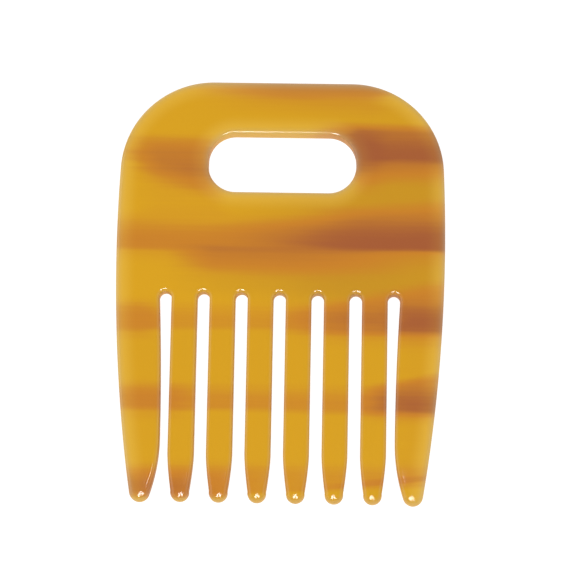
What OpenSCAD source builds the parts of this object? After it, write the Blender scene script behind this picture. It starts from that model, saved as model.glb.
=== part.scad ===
// Wide-tooth hair comb, sawn from one thick sheet and polished.
// It lies on its back face: X across the teeth, Y along them with the tips towards -Y, Z through the sheet.

/* [Back] */
// Thickness of the sheet
sheet_thickness = 5; // [4.75:0.25:5.5]
// Greatest width, a little above the roots of the teeth
comb_width = 86.5; // [85.5:0.5:88]
// Length of the back, from the roots of the gaps to the top edge
back_length = 56.7; // [54:0.1:60]
// Radius of the two rounded corners
corner_radius = 24.5; // [22:0.5:26]
// Radius of the long, slow curve of each side
side_radius = 425; // [400:5:450]

/* [Finger slot] */
// Length of the slot
slot_length = 39.2; // [34:0.1:42]
// Height of the slot
slot_height = 15.8; // [15:0.1:17]
// Radius of the slot's corners
slot_radius = 7.3; // [6:0.1:7.5]
// Distance from the top edge to the middle of the slot
slot_drop = 21.9; // [20:0.1:24]

/* [Teeth] */
// Distance from one tooth to the next
tooth_pitch = 10; // [9.9:0.05:10.1]
// Width of the gap between two teeth at their roots
gap_width = 3.3; // [3:0.1:3.6]
// Length of the outer teeth, from the roots of the gaps to their tips
tooth_length = 55.2; // [52:0.1:58]
// Radius of the ball at the tip of an inner tooth
inner_tip_radius = 2.4; // [2.3:0.05:2.45]
// Radius of the ball at the tip of an outer tooth
outer_tip_radius = 2.6; // [2.5:0.05:2.7]
// How far each outer tooth swells towards its neighbour
swell = 1; // [0.5:0.1:1.2]

/* [Hidden] */
$fn = 96;

// Number of straight steps in the arcs of the outline
corner_steps = 48;
side_steps = 24;
root_steps = 32;
swell_steps = 16;

// The comb is centred on the origin, with its back face at Z = 0.
comb_length = back_length + tooth_length;
top_y = comb_length / 2;
root_y = top_y - back_length;
middle_z = sheet_thickness / 2;

// The balls of all eight tips are centred on one line, where their cones also start.
inner_tooth_count = 6;
tip_y = -top_y + outer_tip_radius;
inner_cone_angle = 5.7;
outer_cone_angle = 15;

// The sides are widest a little above the roots.
widest_rise = 13.2;
widest_y = root_y + widest_rise;
side_x = comb_width / 2 - side_radius;

// Each corner arc touches the top edge and the side arc from inside.
corner_y = top_y - corner_radius;
corner_rise = asin((corner_y - widest_y) / (side_radius - corner_radius));
corner_x = side_x + (side_radius - corner_radius) * cos(corner_rise);

// The side arc runs past the outer ball, a hair outside it, so that the ball alone shapes the tip.
ball_margin = 0.05;
outer_reach = side_radius - outer_tip_radius - ball_margin;
side_fall = asin((widest_y - tip_y) / outer_reach);
outer_tip_x = side_x + outer_reach * cos(side_fall);

// The outermost gap lies between the last inner tooth and the swollen edge of the outer tooth,
// which swells most this far below the roots.
swell_fall = 38.5;
outer_gap_x = tooth_pitch * inner_tooth_count / 2;
gap_radius = gap_width / 2;
gap_centre_y = root_y - gap_radius;
swell_x = outer_gap_x + gap_radius - swell;
swell_y = root_y - swell_fall;
swell_drop = gap_centre_y - swell_y;
swell_radius = (pow(swell_drop, 2) + pow(swell, 2)) / (2 * swell);
swell_angle = asin(swell_drop / swell_radius);

// Below the swell the edge turns back to the tip along an arc that clears the ball by the same margin.
cleared_radius = outer_tip_radius + ball_margin;
tip_offset = outer_tip_x - swell_x;
turn_radius = (pow(swell_y - tip_y, 2) + pow(tip_offset, 2) - pow(cleared_radius, 2))
    / (2 * (tip_offset - cleared_radius));
turn_angle = asin((swell_y - tip_y) / (turn_radius - cleared_radius));

// Cuts run past the faces and the tips by this much.
overrun = 2;

// Each cone starts just inside its ball, at this share of the ball's radius, so that the two cross cleanly.
cone_share = 0.998;
end_y = -top_y - overrun;

// The cone of an inner tooth runs up to where it clears the corners of the tooth by this margin,
// and all eight tips are ground over that length.
corner_margin = 0.2;
inner_clear_radius = norm([(tooth_pitch - gap_width) / 2, middle_z]) + corner_margin;
grinding_length = (inner_clear_radius - inner_tip_radius) / tan(inner_cone_angle);

// Over that length an outer tooth reaches this far to the side of the axis of its cone.
ground_drop = widest_y - (tip_y + grinding_length);
outer_half_width = side_x + sqrt(pow(side_radius, 2) - pow(ground_drop, 2)) - outer_tip_x;
outer_clear_radius = norm([outer_half_width, middle_z]) + corner_margin;

AMBER = [0.86, 0.62, 0.14];

function arc(centre, radius, from, to, steps) = [
    for (i = [0 : steps])
        let (a = from + (to - from) * i / steps)
            centre + radius * [cos(a), sin(a)]
];

// Outer edge of the right-hand half, from the top edge down the side to below the tip
function side_points() = concat(
    arc([corner_x, corner_y], corner_radius, 90, corner_rise, corner_steps),
    arc([side_x, widest_y], side_radius, corner_rise, -side_fall, side_steps),
    [[outer_tip_x + cleared_radius + overrun, end_y]]
);

// Edges of the right-hand outermost gap, up the straight side, round the root and down the swollen side
function outer_gap_points() = concat(
    [[outer_gap_x - gap_radius, end_y]],
    arc([outer_gap_x, gap_centre_y], gap_radius, 180, 0, root_steps),
    arc([swell_x + swell_radius, swell_y], swell_radius, 180 - swell_angle, 180, swell_steps),
    arc([swell_x + turn_radius, swell_y], turn_radius, 180, 180 + turn_angle, swell_steps),
    [[outer_tip_x - cleared_radius - overrun, end_y]]
);

module mirrored_pair() {
    children();
    mirror([1, 0, 0]) children();
}

// Flat shape of the sheet before the slot and the gaps are cut
module blank_outline() {
    right_half = side_points();
    last = len(right_half) - 1;
    left_half = [for (i = [0 : last]) [-right_half[last - i][0], right_half[last - i][1]]];
    polygon(concat(right_half, left_half));
}

module slot_outline() {
    corner = [slot_length / 2 - slot_radius, slot_height / 2 - slot_radius];
    translate([0, top_y - slot_drop]) {
        square([2 * corner[0], slot_height], center = true);
        square([slot_length, 2 * corner[1]], center = true);
        for (x = [-corner[0], corner[0]], y = [-corner[1], corner[1]])
            translate([x, y]) circle(r = slot_radius);
    }
}

// A straight gap between two inner teeth, with a round root
module inner_gap_outline() {
    translate([-gap_radius, end_y]) square([gap_width, gap_centre_y - end_y]);
    translate([0, gap_centre_y]) circle(r = gap_radius);
}

module comb_outline() {
    difference() {
        blank_outline();
        slot_outline();
        for (i = [1 : inner_tooth_count - 1])
            translate([tooth_pitch * (i - inner_tooth_count / 2), 0]) inner_gap_outline();
        mirrored_pair() polygon(outer_gap_points());
    }
}

// Ball and cone that a tooth is ground down to, with the ball's centre at the origin.
// The cone stops widening where it clears the corners of the tooth.
module tip_form(ball_radius, cone_angle, clear_radius) {
    cone_start_y = ball_radius * sin(cone_angle);
    cone_axis_radius = cone_share * ball_radius / cos(cone_angle);
    cone_start_radius = cone_axis_radius + cone_start_y * tan(cone_angle);
    cone_end_y = (clear_radius - cone_axis_radius) / tan(cone_angle);
    rotate([-90, 0, 0]) rotate_extrude() {
        intersection() {
            circle(r = ball_radius);
            translate([0, -ball_radius]) square([ball_radius, 2 * ball_radius]);
        }
        polygon([
            [0, cone_start_y],
            [cone_start_radius, cone_start_y],
            [clear_radius, cone_end_y],
            [clear_radius, grinding_length + overrun],
            [0, grinding_length + overrun]
        ]);
    }
}

// What is ground away round all the tips
module tip_waste() {
    difference() {
        translate([-comb_width / 2 - overrun, end_y - overrun, -overrun])
            cube([
                comb_width + 2 * overrun,
                tip_y + grinding_length - end_y + overrun,
                sheet_thickness + 2 * overrun
            ]);
        for (i = [0 : inner_tooth_count - 1])
            translate([tooth_pitch * (i - (inner_tooth_count - 1) / 2), tip_y, middle_z])
                tip_form(inner_tip_radius, inner_cone_angle, inner_clear_radius);
        for (x = [-outer_tip_x, outer_tip_x])
            translate([x, tip_y, middle_z])
                tip_form(outer_tip_radius, outer_cone_angle, outer_clear_radius);
    }
}

module comb() {
    color(AMBER) difference() {
        linear_extrude(height = sheet_thickness) comb_outline();
        tip_waste();
    }
}

comb();
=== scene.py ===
from math import asin, cos, degrees, pi, radians, sin, sqrt, tanh

import bpy
from mathutils import Matrix, Vector
from mathutils.geometry import delaunay_2d_cdt
from mathutils.kdtree import KDTree


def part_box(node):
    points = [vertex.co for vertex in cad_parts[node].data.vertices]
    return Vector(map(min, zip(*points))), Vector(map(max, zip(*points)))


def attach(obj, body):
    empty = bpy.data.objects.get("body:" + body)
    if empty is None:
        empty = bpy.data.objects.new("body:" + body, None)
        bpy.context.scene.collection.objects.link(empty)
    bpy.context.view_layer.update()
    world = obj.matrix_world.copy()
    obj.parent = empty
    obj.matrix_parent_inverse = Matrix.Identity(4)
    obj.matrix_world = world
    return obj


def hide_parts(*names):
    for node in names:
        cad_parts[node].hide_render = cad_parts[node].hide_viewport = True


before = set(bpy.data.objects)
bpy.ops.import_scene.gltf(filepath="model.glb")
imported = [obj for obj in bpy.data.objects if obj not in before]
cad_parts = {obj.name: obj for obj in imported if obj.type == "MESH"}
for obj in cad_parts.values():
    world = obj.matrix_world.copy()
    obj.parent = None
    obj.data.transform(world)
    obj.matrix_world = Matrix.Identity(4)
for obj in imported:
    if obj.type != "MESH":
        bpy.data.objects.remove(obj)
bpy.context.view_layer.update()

MM = 0.001

# Sizes of the comb, in millimetres. The outer sizes come from the CAD box,
# and the rest repeat the design's own values.
box_low, box_high = (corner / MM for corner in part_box("comb"))
COMB_WIDTH = box_high.x - box_low.x
THICKNESS = box_high.z - box_low.z
TOP_Y = box_high.y
TIP_END_Y = box_low.y
BACK_LENGTH = 56.7
CORNER_RADIUS = 24.5
SIDE_RADIUS = 425
WIDEST_RISE = 13.2
SLOT_LENGTH = 39.2
SLOT_HEIGHT = 15.8
SLOT_RADIUS = 7.3
SLOT_DROP = 21.9
TOOTH_PITCH = 10
INNER_TOOTH_COUNT = 6
GAP_RADIUS = 1.65
INNER_TIP_RADIUS = 2.4
OUTER_TIP_RADIUS = 2.6
OUTER_TIP_X = 35.44
SWELL = 1
SWELL_FALL = 38.5

ROOT_Y = TOP_Y - BACK_LENGTH
WIDEST_Y = ROOT_Y + WIDEST_RISE
SLOT_Y = TOP_Y - SLOT_DROP
SWELL_Y = ROOT_Y - SWELL_FALL
GAP_CENTRE_Y = ROOT_Y - GAP_RADIUS
OUTER_GAP_X = TOOTH_PITCH * INNER_TOOTH_COUNT / 2
TIP_Y = TIP_END_Y + OUTER_TIP_RADIUS

# Each side is one arc, which runs from the corner down to the ball of the outer tooth. The fall is
# the angle, in radians, from its widest place to the ball, and the ball sits a hair further out
# than the design's outer tip, so that the side meets it.
SIDE_X = COMB_WIDTH / 2 - SIDE_RADIUS
SIDE_FALL = asin((WIDEST_Y - TIP_Y) / (SIDE_RADIUS - OUTER_TIP_RADIUS))
BALL_X = SIDE_X + (SIDE_RADIUS - OUTER_TIP_RADIUS) * cos(SIDE_FALL)

# An inner tooth is straight down to this far above the centre of its tip. Below that its sides
# curve in, slowly and then faster, and meet the round tip this many degrees above its widest place.
TAPER_LENGTH = 10.3
TAPER_POWER = 1.5
TAPER_END_ANGLE = 8.0
TAPER_STEPS = 20

# The polished edges: how wide and how deep each one is rounded over. The rounding of the teeth
# deepens down the last stretch, of this length.
EDGE_WIDTH = 1.1
EDGE_DEPTH = 0.58
SLOT_EDGE_WIDTH = 1.0
SLOT_EDGE_DEPTH = 0.45
TIP_EDGE_DEPTH = 1.0
DEEPENING_LENGTH = 10
EDGE_STEPS = 10

# A narrow strip just inside the rounding keeps the shading of the face level up to it.
STRIP_WIDTH = 0.12

# The tips are ground down: a soft dome at the very end, and a crown across the last stretch of the tooth.
DOME_LENGTH = 2.75
DOME_RADIUS = 9.0
CROWN_LENGTH = 11
CROWN_WIDTH = 1.8
CROWN_RADIUS = 5.4

# The deeper rounding and the crown are both complete this far above the very end.
COMPLETE_LENGTH = 1

# Spacing of the points along the outline and of the net over the faces, which is finer near the tips
POINT_SPACING = 0.6
FACE_SPACING = 1.2
TIP_FACE_SPACING = 0.25
TIP_FACES_LENGTH = 11
RIM_CLEARANCE = 0.5 * POINT_SPACING
TIP_RIM_CLEARANCE = 0.5 * TIP_FACE_SPACING

# An arc has at least this many steps, and a step turns by no more than about this many degrees.
FEWEST_STEPS = 3
WIDEST_STEP = 9

# Settings of the triangulation: it fills the whole hull, and points closer than this are one point.
WHOLE_HULL = 0
MERGE_DISTANCE = 1e-7


# ---------------------------------------------------------------- outline

def arc(centre, radius, start, end):
    """Points along an arc, in degrees, spaced to suit its length."""
    by_length = round(abs(radians(end - start)) * radius / POINT_SPACING)
    by_turn = round(abs(end - start) / WIDEST_STEP)
    steps = max(FEWEST_STEPS, by_length, by_turn)
    angles = [radians(start + (end - start) * i / steps) for i in range(steps + 1)]
    return [
        Vector((centre[0] + radius * cos(angle), centre[1] + radius * sin(angle)))
        for angle in angles
    ]


def line(start, end):
    """Points along a straight line, without its ends."""
    start, end = Vector(start), Vector(end)
    steps = max(1, round((end - start).length / POINT_SPACING))
    return [start.lerp(end, i / steps) for i in range(1, steps)]


def mirrored(points):
    """The same points on the other side of the middle, in the opposite order."""
    return [Vector((-point.x, point.y)) for point in reversed(points)]


def side_edge():
    """The right-hand side from the middle of the top edge, round the corner and down to the tip."""
    corner_y = TOP_Y - CORNER_RADIUS
    reach = SIDE_RADIUS - CORNER_RADIUS
    rise = asin((corner_y - WIDEST_Y) / reach)
    corner_x = SIDE_X + reach * cos(rise)
    points = line((0, TOP_Y), (corner_x, TOP_Y))
    points += arc((corner_x, corner_y), CORNER_RADIUS, 90, degrees(rise))
    points += arc((SIDE_X, WIDEST_Y), SIDE_RADIUS, degrees(rise), -degrees(SIDE_FALL))[1:]
    return points


def outer_tooth_inner_edge():
    """Round the ball of the outer tooth, up its swollen inner edge and round the root of the gap."""
    swell_x = OUTER_GAP_X + GAP_RADIUS - SWELL
    rise = SWELL_Y - TIP_Y
    offset = BALL_X - swell_x
    turn_radius = (rise ** 2 + offset ** 2 - OUTER_TIP_RADIUS ** 2) / (2 * (offset - OUTER_TIP_RADIUS))
    turn = degrees(asin(rise / (turn_radius - OUTER_TIP_RADIUS)))
    drop = GAP_CENTRE_Y - SWELL_Y
    swell_radius = (drop ** 2 + SWELL ** 2) / (2 * SWELL)
    swell_angle = degrees(asin(drop / swell_radius))
    points = arc((BALL_X, TIP_Y), OUTER_TIP_RADIUS, -degrees(SIDE_FALL), -180 + turn)[1:]
    points += arc((swell_x + turn_radius, SWELL_Y), turn_radius, 180 + turn, 180)[1:]
    points += arc((swell_x + swell_radius, SWELL_Y), swell_radius, 180, 180 - swell_angle)[1:-1]
    points += arc((OUTER_GAP_X, GAP_CENTRE_Y), GAP_RADIUS, 0, 180)
    return points


def inner_tooth_side():
    """The right-hand side of an inner tooth, from the root of the gap down to the round tip."""
    half = TOOTH_PITCH / 2 - GAP_RADIUS
    taper_y = TIP_Y + TAPER_LENGTH
    end_x = INNER_TIP_RADIUS * cos(radians(TAPER_END_ANGLE))
    end_y = TIP_Y + INNER_TIP_RADIUS * sin(radians(TAPER_END_ANGLE))
    points = line((half, GAP_CENTRE_Y), (half, taper_y))
    for i in range(TAPER_STEPS):
        narrowing = (half - end_x) * (i / TAPER_STEPS) ** TAPER_POWER
        points.append(Vector((half - narrowing, taper_y + (end_y - taper_y) * i / TAPER_STEPS)))
    return points


def inner_tooth(centre_x):
    """Down the right-hand side of an inner tooth, round its tip and up its left-hand side."""
    right = inner_tooth_side()
    tip = arc((0, TIP_Y), INNER_TIP_RADIUS, TAPER_END_ANGLE, -180 - TAPER_END_ANGLE)
    return [Vector((point.x + centre_x, point.y)) for point in right + tip + mirrored(right)]


def comb_outline():
    """The closed outline, clockwise from the middle of the top edge."""
    half = side_edge() + outer_tooth_inner_edge()
    for i in reversed(range(INNER_TOOTH_COUNT // 2)):
        half += inner_tooth(TOOTH_PITCH * (i + 0.5))
        if i:
            half += arc((TOOTH_PITCH * i, GAP_CENTRE_Y), GAP_RADIUS, 0, 180)
    half += arc((0, GAP_CENTRE_Y), GAP_RADIUS, 0, 90)[:-1]
    return half + [Vector((0, ROOT_Y))] + mirrored(half) + [Vector((0, TOP_Y))]


def slot_outline():
    """The finger slot, anticlockwise, so that the material is on the same hand as along the outer edge."""
    x = SLOT_LENGTH / 2 - SLOT_RADIUS
    y = SLOT_HEIGHT / 2 - SLOT_RADIUS
    corners = [((x, -y), -90), ((x, y), 0), ((-x, y), 90), ((-x, -y), 180)]
    points = []
    for (corner_x, corner_y), start in corners:
        quarter = arc((corner_x, SLOT_Y + corner_y), SLOT_RADIUS, start, start + 90)
        if points:
            points += line(points[-1], quarter[0])
        points += quarter
    return points + line(points[-1], points[0])


def inward_normals(points):
    """Unit normals into the material, which lies on the right of the direction of travel."""
    normals = []
    for i, point in enumerate(points):
        onwards = points[(i + 1) % len(points)] - point
        so_far = point - points[i - 1]
        along = onwards.normalized() + so_far.normalized()
        normals.append(Vector((along.y, -along.x)).normalized())
    return normals


# ---------------------------------------------------------------- comb mesh

def smooth_step(value, low, high):
    """Rises from 0 to 1 between two values, level at both ends."""
    share = min(1, max(0, (value - low) / (high - low)))
    return share * share * (3 - 2 * share)


def edge_size(place, is_slot):
    """Width and depth of the rounding at this place on an edge."""
    if is_slot:
        return SLOT_EDGE_WIDTH, SLOT_EDGE_DEPTH
    towards_tip = 1 - smooth_step(place.y, TIP_END_Y + COMPLETE_LENGTH, TIP_END_Y + DEEPENING_LENGTH)
    return EDGE_WIDTH, EDGE_DEPTH + (TIP_EDGE_DEPTH - EDGE_DEPTH) * towards_tip


def tooth_offset(x):
    """How far this place is to the side of the middle of its tooth, near the tips."""
    if abs(x) > OUTER_GAP_X:
        return abs(x) - OUTER_TIP_X
    return (x % TOOTH_PITCH) - TOOTH_PITCH / 2


def half_thickness(place):
    """Half the thickness at this place: full on the body, less on the domed and crowned tips."""
    near_tip = 1 - smooth_step(place.y, TIP_END_Y + COMPLETE_LENGTH, TIP_END_Y + CROWN_LENGTH)
    if near_tip == 0:
        return THICKNESS / 2
    along = max(0, TIP_END_Y + DOME_LENGTH - place.y)
    across = CROWN_WIDTH * tanh(tooth_offset(place.x) / CROWN_WIDTH)
    drop = along ** 2 / (2 * DOME_RADIUS) + near_tip * across ** 2 / (2 * CROWN_RADIUS)
    return THICKNESS / 2 - drop


def row_crossings(y, loops):
    """Where closed loops of points cross this height, from left to right."""
    crossings = []
    for loop in loops:
        for start, end in zip(loop, loop[1:] + loop[:1]):
            if (start.y > y) != (end.y > y):
                crossings.append((end.x - start.x) * (y - start.y) / (end.y - start.y) + start.x)
    return sorted(crossings)


def is_inside(x, crossings):
    """Whether this place on a row lies in the material: past an odd number of crossings."""
    return sum(1 for crossing in crossings if crossing < x) % 2 == 1


def edge_profile():
    """Angles round a rounded edge, each with an extra distance inwards, from the wall onto the face."""
    profile = [(pi / 2 * step / EDGE_STEPS, 0) for step in range(EDGE_STEPS + 1)]
    return profile + [(pi / 2, STRIP_WIDTH)]


def add_edge(vertices, faces, points, is_slot):
    """Adds the wall along a closed loop, with its two rounded edges.

    Returns the ring of vertices where the back begins and the one where the front begins.
    """
    normals = inward_normals(points)
    sizes = [edge_size(point, is_slot) for point in points]
    front_profile = [(1, angle, extra) for angle, extra in edge_profile()]
    back_profile = [(-1, angle, extra) for angle, extra in reversed(edge_profile())]
    rings = []
    for side, angle, extra in back_profile + front_profile:
        ring = []
        for point, normal, (width, depth) in zip(points, normals, sizes):
            place = point + normal * (width * (1 - cos(angle)) + extra)
            height = half_thickness(place) - depth * (1 - sin(angle))
            ring.append(len(vertices))
            vertices.append(Vector((place.x, place.y, THICKNESS / 2 + side * height)))
        rings.append(ring)
    for low, high in zip(rings, rings[1:]):
        for here in range(len(points)):
            after = (here + 1) % len(points)
            faces.append((low[after], low[here], high[here], high[after]))
    return rings[0], rings[-1]


def nearest_point_tree(points):
    """A search tree that finds the nearest of these points."""
    tree = KDTree(len(points))
    for i, point in enumerate(points):
        tree.insert((point.x, point.y, 0), i)
    tree.balance()
    return tree


def net_points(loops, rim, low, high, spacing, clearance):
    """An even net of points inside the loops between two heights, clear of the points of the rim."""
    row_height = spacing * sqrt(3) / 2
    columns = int(COMB_WIDTH / spacing)
    points = []
    for row in range(int((high - low) / row_height)):
        y = low + row * row_height
        crossings = row_crossings(y, loops)
        for column in range(-columns // 2, columns // 2 + 1):
            # Every other row is shifted by half a space.
            x = (column + 0.5 * (row % 2)) * spacing
            if is_inside(x, crossings) and rim.find((x, y, 0))[2] > clearance:
                points.append(Vector((x, y)))
    return points


def loop_edges(loops):
    """Pairs of neighbouring point numbers round each loop, numbered through all the loops."""
    edges = []
    start = 0
    for loop in loops:
        edges += [(start + i, start + (i + 1) % len(loop)) for i in range(len(loop))]
        start += len(loop)
    return edges


def add_flat_faces(vertices, faces, rings):
    """Fills the front and the back inside the rounded edges with an even net of triangles."""
    loops = [[vertices[i].xy for i in front] for back, front in rings]
    rim_points = [point for loop in loops for point in loop]
    rim = nearest_point_tree(rim_points)
    tips_top_y = TIP_END_Y + TIP_FACES_LENGTH
    net = net_points(loops, rim, TIP_END_Y, tips_top_y, TIP_FACE_SPACING, TIP_RIM_CLEARANCE)
    net += net_points(loops, rim, tips_top_y, TOP_Y, FACE_SPACING, RIM_CLEARANCE)
    placed, _, triangles, origins, _, _ = delaunay_2d_cdt(
        rim_points + net, loop_edges(loops), [], WHOLE_HULL, MERGE_DISTANCE
    )
    back_ids = [i for back, front in rings for i in back]
    front_ids = [i for back, front in rings for i in front]
    back_of, front_of, on_rim = {}, {}, {}
    for i, point in enumerate(placed):
        source = min(origins[i])
        on_rim[i] = source < len(rim_points)
        if on_rim[i]:
            front_of[i], back_of[i] = front_ids[source], back_ids[source]
            continue
        height = half_thickness(point)
        front_of[i] = len(vertices)
        vertices.append(Vector((point.x, point.y, THICKNESS / 2 + height)))
        back_of[i] = len(vertices)
        vertices.append(Vector((point.x, point.y, THICKNESS / 2 - height)))
    for a, b, c in triangles:
        if on_rim[a] and on_rim[b] and on_rim[c]:
            # A triangle between three points of the rim may lie outside, in a gap or in the slot.
            centre = (placed[a] + placed[b] + placed[c]) / 3
            if not is_inside(centre.x, row_crossings(centre.y, loops)):
                continue
        faces.append((front_of[a], front_of[b], front_of[c]))
        faces.append((back_of[c], back_of[b], back_of[a]))


def mark_distance(mesh, name, points):
    """Stores, at every vertex, the distance in millimetres to the nearest of these points."""
    tree = nearest_point_tree(points)
    attribute = mesh.attributes.new(name, "FLOAT", "POINT")
    distances = [
        tree.find((vertex.co.x / MM, vertex.co.y / MM, 0))[2]
        for vertex in mesh.vertices
    ]
    attribute.data.foreach_set("value", distances)


def mark_walls(mesh):
    """Stores, at every vertex, how steep the surface is: 0 on the faces and 1 on the walls."""
    wall = mesh.attributes.new("wall", "FLOAT", "POINT")
    wall.data.foreach_set("value", [1 - abs(vertex.normal.z) for vertex in mesh.vertices])


def build_comb():
    """The whole comb as one piece, with what its material needs to know stored at every vertex."""
    outer = comb_outline()
    slot = slot_outline()
    vertices, faces = [], []
    rings = [add_edge(vertices, faces, outer, False), add_edge(vertices, faces, slot, True)]
    add_flat_faces(vertices, faces, rings)
    mesh = bpy.data.meshes.new("comb_acetate")
    mesh.from_pydata([vertex * MM for vertex in vertices], [], faces)
    mesh.validate()
    mesh.update()
    mesh.shade_smooth()
    side = side_edge()
    mark_distance(mesh, "frame_distance", side + mirrored(side) + slot)
    mark_distance(mesh, "outline_distance", outer + slot)
    mark_walls(mesh)
    piece = bpy.data.objects.new("comb_acetate", mesh)
    bpy.context.scene.collection.objects.link(piece)
    return piece


# ---------------------------------------------------------------- materials

class Tree:
    """Short calls for building a node tree. Most return an output socket."""

    def __init__(self, tree):
        self.tree = tree

    def node(self, kind, inputs, output=0, **settings):
        node = self.tree.nodes.new(kind)
        for name, value in settings.items():
            setattr(node, name, value)
        for key, value in inputs.items():
            if isinstance(value, bpy.types.NodeSocket):
                self.link(value, node.inputs[key])
            else:
                node.inputs[key].default_value = value
        return node.outputs[output]

    def link(self, value, socket):
        self.tree.links.new(value, socket)

    def math(self, operation, a, b):
        return self.node("ShaderNodeMath", {0: a, 1: b}, operation=operation)

    def add(self, a, b):
        return self.math("ADD", a, b)

    def subtract(self, a, b):
        return self.math("SUBTRACT", a, b)

    def multiply(self, a, b):
        return self.math("MULTIPLY", a, b)

    def ramp(self, value, low, high, start=0.0, end=1.0):
        """Goes smoothly from start to end while the value goes from low to high."""
        inputs = {"Value": value, "From Min": low, "From Max": high, "To Min": start, "To Max": end}
        return self.node("ShaderNodeMapRange", inputs, interpolation_type="SMOOTHSTEP")

    def noise(self, position, frequency, detail, amount):
        """Noise about zero, with its own frequency along each axis."""
        scaled = self.node("ShaderNodeVectorMath", {0: position, 1: frequency}, operation="MULTIPLY")
        inputs = {"Vector": scaled, "Scale": 1.0, "Detail": detail, "Roughness": 0.5}
        value = self.node("ShaderNodeTexNoise", inputs)
        return self.multiply(self.subtract(value, 0.5), amount)

    def mix(self, factor, a, b):
        return self.node("ShaderNodeMix", {0: factor, 6: a, 7: b}, output=2, data_type="RGBA")

    def attribute(self, name):
        return self.node("ShaderNodeAttribute", {}, output="Fac", attribute_name=name)

    def axes(self, vector):
        """The three outputs X, Y and Z of a vector."""
        separate = self.tree.nodes.new("ShaderNodeSeparateXYZ")
        self.link(vector, separate.inputs[0])
        return separate.outputs


AMBER = (0.715, 0.366, 0.009, 1)
DEEP_AMBER = (0.575, 0.285, 0.012, 1)
ORANGE_BROWN = (0.61, 0.226, 0.018, 1)
RED_BROWN = (0.385, 0.106, 0.032, 1)
# Painted light: the paler amber painted where light would come through the edges and the walls
PAINTED_GLOW_AMBER = (0.95, 0.65, 0.12, 1)
# Painted light: the greyish pale of light through the edges and of reflection on their rounding
PAINTED_RIM_SHEEN = (0.42, 0.40, 0.28, 1)

# Left and right ends of a streak that lie beyond the comb
FAR_LEFT = (-90, 1)
FAR_RIGHT = (90, 1)


def streak(strength, bottom, top, left=FAR_LEFT, right=FAR_RIGHT, bottom_tilt=0, top_tilt=0):
    """Settings of one streak of colour, in millimetres from the middle of the comb.

    The bottom and the top say where the streak is full and how far beyond that it fades out.
    The left and the right say where it ends and how far inside that it fades.
    A tilt is the rise of that line towards the right, per millimetre.
    """
    return {
        "Bottom": bottom[0], "Bottom fade": bottom[1], "Bottom tilt": bottom_tilt,
        "Top": top[0], "Top fade": top[1], "Top tilt": top_tilt,
        "Left": left[0], "Left fade": left[1],
        "Right": right[0], "Right fade": right[1],
        "Strength": strength,
    }


STREAKS = [
    # Along the top edge, and a faint one over all the upper part
    streak(0.42, (54.5, 3.5), (60, 1), left=(-34, 36), right=(30, 8)),
    streak(0.24, (52.5, 8), (60, 1), left=(-34, 36), right=(32, 10)),
    streak(0.06, (20, 40), (60, 1), left=(-20, 50)),
    # To the left of the slot
    streak(0.66, (27, 9), (36, 8), left=(-48, 16), right=(-12, 8), bottom_tilt=-0.25),
    streak(0.13, (22, 4), (30, 6), left=(-44, 14), right=(-10, 8)),
    # To the right of the slot
    streak(0.7, (35.5, 9), (42, 4), left=(2, 18)),
    streak(0.24, (36, 2), (37, 6), left=(16, 12)),
    streak(0.22, (29, 5), (40, 5), left=(17, 4), right=(30, 10)),
    # Right across below the slot, and wider towards the right
    streak(0.25, (11.5, 2), (13, 10)),
    streak(0.26, (12, 8), (13, 10)),
    streak(0.46, (13.5, 2.5), (16, 5.5), left=(-26, 50), bottom_tilt=-0.03, top_tilt=0.127),
    # Above the roots of the teeth
    streak(0.38, (7, 5.5), (9.5, 4), left=(-32, 16), right=(46, 44)),
    streak(0.06, (2, 7), (8, 4), left=(-38, 22), right=(36, 34)),
    streak(0.05, (0, 5), (12, 30), left=(-5, 35)),
    # Across the upper part of the teeth
    streak(0.29, (-9.8, 2.5), (-8, 7)),
    streak(0.18, (-12.2, 3), (-6, 5), right=(-28, 8)),
    streak(0.46, (-7, 10.5), (-8.2, 5), left=(-6, 26), top_tilt=0.183),
    streak(0.15, (-9.5, 2), (-5, 5), left=(24, 10)),
    # Across the middle of the teeth
    streak(0.37, (-30.7, 2.5), (-29.5, 7)),
    streak(0.17, (-33, 4), (-29, 6), right=(-20, 8)),
    streak(0.47, (-29.5, 6.5), (-32, 3.2), left=(17, 12), top_tilt=0.21),
    streak(0.09, (-46, 6), (-8, 10), left=(27, 8)),
    # Across the tips
    streak(0.3, (-52.3, 2), (-49, 6), bottom_tilt=0.05),
    streak(0.45, (-53.4, 2.4), (-52, 7), right=(0, 30)),
    streak(0.25, (-53, 0.6), (-52.4, 1.2), left=(0, 34), bottom_tilt=0.095, top_tilt=0.095),
]

# The faint deeper amber under the streaks
DEEP_STREAKS = [
    # Below the slot, and above the roots
    streak(0.75, (-1, 5), (30, 16), left=(-22, 50)),
    streak(0.3, (2, 6), (8, 6), left=(-34, 20), right=(40, 34)),
    # Above the slot
    streak(0.2, (44, 6), (60, 1), left=(-10, 40)),
    # All along the teeth
    streak(0.18, (-90, 1), (-12, 6)),
]

# The streaks wander up and down, slowly and with a quick wobble, and their ends shift sideways.
# A fine grain makes the brown uneven, and the polish leaves faint marks in the gloss.
# Each noise has its frequency along the three axes, per millimetre, its detail and its amount.
DRIFT = ((0.02, 0.09, 0.1), 1.0, 2.2)
WOBBLE = ((0.05, 0.5, 0.3), 2.0, 0.9)
END_SHIFT = ((0.05, 0.4, 0.3), 1.0, 8.0)
GRAIN = ((0.03, 1.6, 0.6), 3.0, 0.12)
POLISH_MARKS = ((0.3, 0.3, 0.3), 3.0, 0.05)

# Amounts of brown over which the colour turns first to orange-brown and then to red-brown
ORANGE_RANGE = (0.0, 0.55)
RED_RANGE = (0.45, 1.1)
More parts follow.
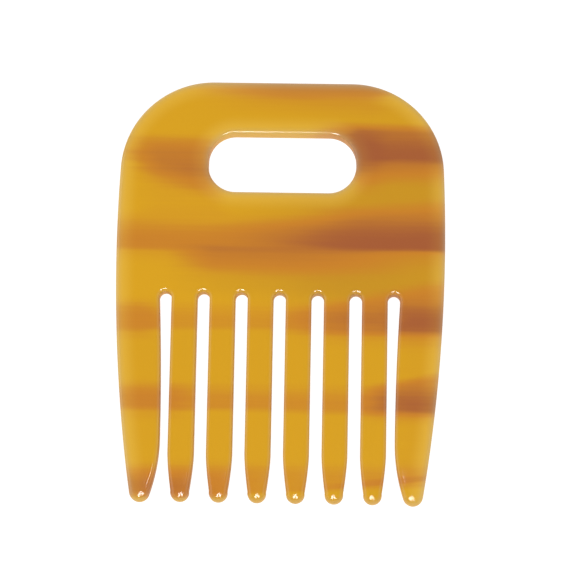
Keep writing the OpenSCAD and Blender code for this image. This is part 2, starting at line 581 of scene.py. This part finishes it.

# Painted light: light that would come through along the frame, which is the sides, the top and the slot,
# and in the walls, is painted into the colour as a paler amber.
# The painted glow of the frame is weaker in brown material and in the walls, down to these shares of it.
FRAME_GLOW = 0.30
FRAME_GLOW_RANGE = (0.3, 5.5)
WALL_GLOW = 0.12
WALL_GLOW_RANGE = (0.4, 0.9)
BROWN_RANGE = (0.0, 1.0)
BROWN_SHARE = 0.25
WALL_RANGE = (0.2, 0.9)
WALL_SHARE = 0.4

# The faces are painted pale towards their edges, as painted light and painted reflection for light through
# the edges and the sheen on their rounding: how much, and between which distances from the edge, or at the
# top and the tips between which heights
OUTLINE_PALENESS = 0.10
OUTLINE_PALE_RANGE = (0.1, 1.2)
FRAME_PALENESS = 0.14
FRAME_PALE_RANGE = (0.2, 2.2)
TOP_PALENESS = 0.14
TOP_PALE_RANGE = (TOP_Y - 2.6, TOP_Y - 0.4)
TIP_PALENESS = 0.12
TIP_PALE_RANGE = (TIP_END_Y + 0.4, TIP_END_Y + 2.8)

# The faces are polished, and the sawn walls are duller.
FACE_ROUGHNESS = 0.08
WALL_ROUGHNESS = 0.5
DULL_RANGE = (0.3, 0.9)
ACETATE_IOR = 1.49


def streak_group():
    """One streak: a band between a bottom and a top line, which fades out on all four sides."""
    group = bpy.data.node_groups.new("streak", "ShaderNodeTree")
    # It takes a place, and the settings that every streak has.
    for name in ("X", "Y", *STREAKS[0]):
        group.interface.new_socket(name, in_out="INPUT", socket_type="NodeSocketFloat")
    group.interface.new_socket("Amount", in_out="OUTPUT", socket_type="NodeSocketFloat")
    tree = Tree(group)
    given = group.nodes.new("NodeGroupInput").outputs
    x, y = given["X"], given["Y"]
    bottom = tree.add(given["Bottom"], tree.multiply(x, given["Bottom tilt"]))
    top = tree.add(given["Top"], tree.multiply(x, given["Top tilt"]))
    above_bottom = tree.ramp(y, tree.subtract(bottom, given["Bottom fade"]), bottom)
    below_top = tree.ramp(y, top, tree.add(top, given["Top fade"]), 1.0, 0.0)
    past_left = tree.ramp(x, given["Left"], tree.add(given["Left"], given["Left fade"]))
    fade_start = tree.subtract(given["Right"], given["Right fade"])
    short_of_right = tree.ramp(x, fade_start, given["Right"], 1.0, 0.0)
    amount = tree.multiply(tree.multiply(above_bottom, below_top), tree.multiply(past_left, short_of_right))
    amount = tree.multiply(amount, given["Strength"])
    result = group.nodes.new("NodeGroupOutput")
    group.links.new(amount, result.inputs["Amount"])
    return group


def add_streaks(tree, group, streaks, x, y):
    """The sum of several streaks at this place."""
    total = 0.0
    for settings in streaks:
        amount = tree.node("ShaderNodeGroup", {"X": x, "Y": y, **settings}, node_tree=group)
        total = tree.add(amount, total)
    return total


def streaked_colour(tree, place, axes):
    """The colour of the sheet, and how brown it is."""
    y = tree.add(axes["Y"], tree.add(tree.noise(place, *DRIFT), tree.noise(place, *WOBBLE)))
    x = tree.add(axes["X"], tree.noise(place, *END_SHIFT))
    group = streak_group()
    brown = tree.add(add_streaks(tree, group, STREAKS, x, y), tree.noise(place, *GRAIN))
    colour = tree.mix(add_streaks(tree, group, DEEP_STREAKS, x, y), AMBER, DEEP_AMBER)
    colour = tree.mix(tree.ramp(brown, *ORANGE_RANGE), colour, ORANGE_BROWN)
    colour = tree.mix(tree.ramp(brown, *RED_RANGE), colour, RED_BROWN)
    return colour, brown


def paint_light_through(tree, colour, brown, wall, frame_distance):
    """Paints light into the colour: a paler amber where light would come through the edges and the walls.
    """
    clear = tree.ramp(brown, *BROWN_RANGE, 1.0, BROWN_SHARE)
    clear = tree.multiply(clear, tree.ramp(wall, *WALL_RANGE, 1.0, WALL_SHARE))
    glow = tree.multiply(tree.ramp(frame_distance, *FRAME_GLOW_RANGE, FRAME_GLOW, 0.0), clear)
    glow = tree.add(glow, tree.ramp(wall, *WALL_GLOW_RANGE, 0.0, WALL_GLOW))
    return tree.mix(glow, colour, PAINTED_GLOW_AMBER)


def paint_pale_edges(tree, colour, y, wall, frame_distance):
    """Paints light onto the faces, but not the walls: paler towards their edges, for light through the
    edges and painted reflection on their rounding.
    """
    outline_distance = tree.attribute("outline_distance")
    pale = tree.add(
        tree.ramp(outline_distance, *OUTLINE_PALE_RANGE, OUTLINE_PALENESS, 0.0),
        tree.ramp(frame_distance, *FRAME_PALE_RANGE, FRAME_PALENESS, 0.0),
    )
    pale = tree.add(pale, tree.ramp(y, *TOP_PALE_RANGE, 0.0, TOP_PALENESS))
    pale = tree.add(pale, tree.ramp(y, *TIP_PALE_RANGE, TIP_PALENESS, 0.0))
    face = tree.ramp(wall, *WALL_RANGE, 1.0, 0.0)
    return tree.mix(tree.multiply(pale, face), colour, PAINTED_RIM_SHEEN)


def acetate():
    """Amber acetate with brown streaks, polished on its faces, with light and reflection painted paler near
    its edges.
    """
    material = bpy.data.materials.new("streaked_acetate")
    material.use_nodes = True
    tree = Tree(material.node_tree)
    place = tree.node("ShaderNodeTexCoord", {}, output="Object")
    place = tree.node("ShaderNodeVectorMath", {0: place, "Scale": 1 / MM}, operation="SCALE")
    axes = tree.axes(place)
    wall = tree.attribute("wall")
    frame_distance = tree.attribute("frame_distance")
    colour, brown = streaked_colour(tree, place, axes)
    # Painted light: paler where light would come through the edges and walls, and paler towards the edges
    # of the faces
    colour = paint_light_through(tree, colour, brown, wall, frame_distance)
    colour = paint_pale_edges(tree, colour, axes["Y"], wall, frame_distance)
    roughness = tree.add(tree.noise(place, *POLISH_MARKS), FACE_ROUGHNESS)
    roughness = tree.add(roughness, tree.ramp(wall, *DULL_RANGE, 0.0, WALL_ROUGHNESS))
    shader = material.node_tree.nodes["Principled BSDF"]
    tree.link(colour, shader.inputs["Base Color"])
    tree.link(roughness, shader.inputs["Roughness"])
    shader.inputs["IOR"].default_value = ACETATE_IOR
    return material


# ---------------------------------------------------------------- stage

# The floor reaches this far each way, and lies a hair under the comb, in metres. It glows a little
# less than white, and its own grey adds the rest.
FLOOR_REACH = 3.0
FLOOR_DROP = 0.0002
FLOOR_COLOUR = (0.15, 0.15, 0.15, 1)
FLOOR_ROUGHNESS = 0.8
FLOOR_GLOW = 0.95
WHITE = (1, 1, 1, 1)

# The photograph is taken from this azimuth and elevation, in degrees, with the camera rolled a little.
# The camera looks at a point on the comb, in millimetres, from this distance in metres.
VIEW_AZIMUTH = 7.84
VIEW_ELEVATION = 79.79
CAMERA_ROLL = -6.87
CAMERA_AIM = (2.1, 0.96, THICKNESS / 2)
CAMERA_DISTANCE = 0.6503
FOCAL_LENGTH = 154.46
SENSOR_WIDTH = 36
CLIP_START = 0.01
CLIP_END = 20

# Three softboxes form an arch round the lens, at this distance from the comb: for each, how far it is
# to the right of the lens and above it, its width and its height, in metres. All have one radiance.
ARCH_DISTANCE = 0.66
ARCH_RADIANCE = 19
ARCH_BOXES = {
    "arch_left": (-0.090, -0.060, 0.098, 0.21),
    "arch_right": (0.077, -0.060, 0.072, 0.21),
    "arch_top": (0, 0.062, 0.082, 0.034),
}

# Four dimmer ones stand round the comb: for each, its azimuth and elevation in degrees,
# its distance, width and height in metres, and its radiance.
ROOM_BOXES = {
    "left_box": (-90, 40, 1.2, 0.9, 0.9, 1.0),
    "right_box": (90, 40, 1.2, 0.9, 0.9, 0.6),
    "back_box": (200, 30, 1.2, 1.2, 0.6, 0.8),
    "front_box": (10, 22, 1.3, 0.9, 0.3, 1.2),
}

# The room is bright at the horizon and darker above, and changes between these heights of a unit sphere.
HORIZON_STRENGTH = 0.95
OVERHEAD_STRENGTH = 0.24
DARKENING_RANGE = (0.05, 0.45)


def floor_paper():
    """White paper that is bright enough by itself for the comb to cast no dark shadow."""
    material = bpy.data.materials.new("white_floor")
    material.use_nodes = True
    shader = material.node_tree.nodes["Principled BSDF"]
    shader.inputs["Base Color"].default_value = FLOOR_COLOUR
    shader.inputs["Roughness"].default_value = FLOOR_ROUGHNESS
    shader.inputs["Emission Color"].default_value = WHITE
    shader.inputs["Emission Strength"].default_value = FLOOR_GLOW
    return material


def build_floor():
    mesh = bpy.data.meshes.new("floor")
    corners = [(-1, -1), (1, -1), (1, 1), (-1, 1)]
    mesh.from_pydata([(x * FLOOR_REACH, y * FLOOR_REACH, 0) for x, y in corners], [], [(0, 1, 2, 3)])
    floor = bpy.data.objects.new("floor", mesh)
    floor.location.z = -FLOOR_DROP
    bpy.context.scene.collection.objects.link(floor)
    mesh.materials.append(floor_paper())


def direction(azimuth, elevation):
    """Unit vector towards a viewer at this azimuth, from -Y towards +X, and elevation, in degrees."""
    turn = radians(azimuth)
    rise = radians(elevation)
    return Vector((sin(turn) * cos(rise), -cos(turn) * cos(rise), sin(rise)))


def add_softbox(name, place, width, height, radiance):
    """A softbox at this place, in metres, facing the comb."""
    light = bpy.data.lights.new(name, "AREA")
    light.shape = "RECTANGLE"
    light.size, light.size_y = width, height
    light.energy = radiance * width * height * pi
    lamp = bpy.data.objects.new(name, light)
    lamp.location = place
    lamp.rotation_mode = "QUATERNION"
    lamp.rotation_quaternion = place.to_track_quat("Z", "Y")
    bpy.context.scene.collection.objects.link(lamp)


def studio_world():
    """A room that is white at the horizon and darker overhead."""
    world = bpy.data.worlds.new("studio")
    world.use_nodes = True
    tree = Tree(world.node_tree)
    axes = tree.axes(tree.node("ShaderNodeTexCoord", {}, output="Generated"))
    strength = tree.ramp(axes["Z"], *DARKENING_RANGE, HORIZON_STRENGTH, OVERHEAD_STRENGTH)
    background = world.node_tree.nodes["Background"]
    background.inputs["Color"].default_value = WHITE
    tree.link(strength, background.inputs["Strength"])
    return world


def build_lights():
    """The room, an arch of boxes round the lens, and a larger soft box on each of the four sides."""
    bpy.context.scene.world = studio_world()
    back = direction(VIEW_AZIMUTH, VIEW_ELEVATION)
    right = Vector((back.z, 0, -back.x)).normalized()
    up = back.cross(right)
    for name, (across, along, width, height) in ARCH_BOXES.items():
        place = back * ARCH_DISTANCE + right * across + up * along
        add_softbox(name, place, width, height, ARCH_RADIANCE)
    for name, (azimuth, elevation, distance, width, height, radiance) in ROOM_BOXES.items():
        add_softbox(name, direction(azimuth, elevation) * distance, width, height, radiance)


def build_camera():
    data = bpy.data.cameras.new("camera")
    data.sensor_width = SENSOR_WIDTH
    data.lens = FOCAL_LENGTH
    data.clip_start, data.clip_end = CLIP_START, CLIP_END
    camera = bpy.data.objects.new("camera", data)
    back = direction(VIEW_AZIMUTH, VIEW_ELEVATION)
    camera.location = Vector(CAMERA_AIM) * MM + back * CAMERA_DISTANCE
    camera.rotation_mode = "QUATERNION"
    level = (-back).to_track_quat("-Z", "Y").to_matrix()
    roll = Matrix.Rotation(radians(CAMERA_ROLL), 3, "Z")
    camera.rotation_quaternion = (level @ roll).to_quaternion()
    bpy.context.scene.collection.objects.link(camera)
    bpy.context.scene.camera = camera


build_camera()
comb = build_comb()
comb.data.materials.append(acetate())
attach(comb, "root")
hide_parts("comb")
build_floor()
build_lights()
bpy.context.scene.view_settings.view_transform = "Standard"
